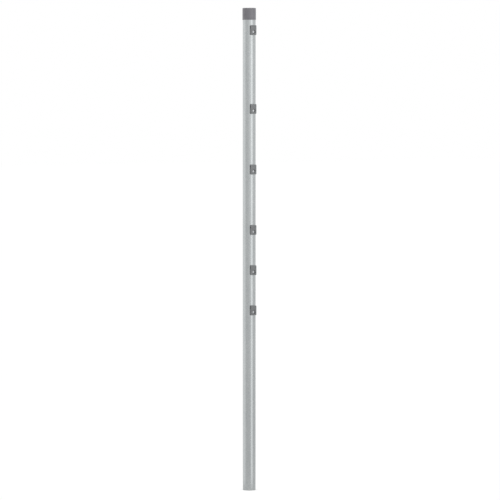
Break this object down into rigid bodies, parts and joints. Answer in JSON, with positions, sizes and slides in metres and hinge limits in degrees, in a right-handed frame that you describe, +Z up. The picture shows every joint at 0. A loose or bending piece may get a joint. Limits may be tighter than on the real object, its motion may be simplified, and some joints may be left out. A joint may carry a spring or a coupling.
{
  "type": "fence post",
  "caption": "Round galvanised steel fence post with a push-on plastic cap and riveted plastic clips that hold fence wires.",
  "frame": {"origin": "on the tube's axis at its square-cut lower end", "axes": "+Z up along the tube, -Y out of the front of the clips"},
  "size_m": [0.0338, 0.039, 1.2],
  "materials": {
    "galvanised_steel": "galvanised, satin",
    "cap_plastic": "moulded, matt",
    "clip_plastic": "moulded, matt",
    "rivet_aluminium": "bright",
    "mandrel_steel": "drawn wire"
  },
  "bodies": {
    "root": {"post_tube": "galvanised_steel", "post_cap": "cap_plastic", "wire_clip_1": "clip_plastic", "wire_clip_2": "clip_plastic", "wire_clip_3": "clip_plastic", "wire_clip_4": "clip_plastic", "wire_clip_5": "clip_plastic", "wire_clip_6": "clip_plastic", "clip_rivets": "rivet_aluminium", "rivet_mandrels": "mandrel_steel"}
  },
  "joints": []
}
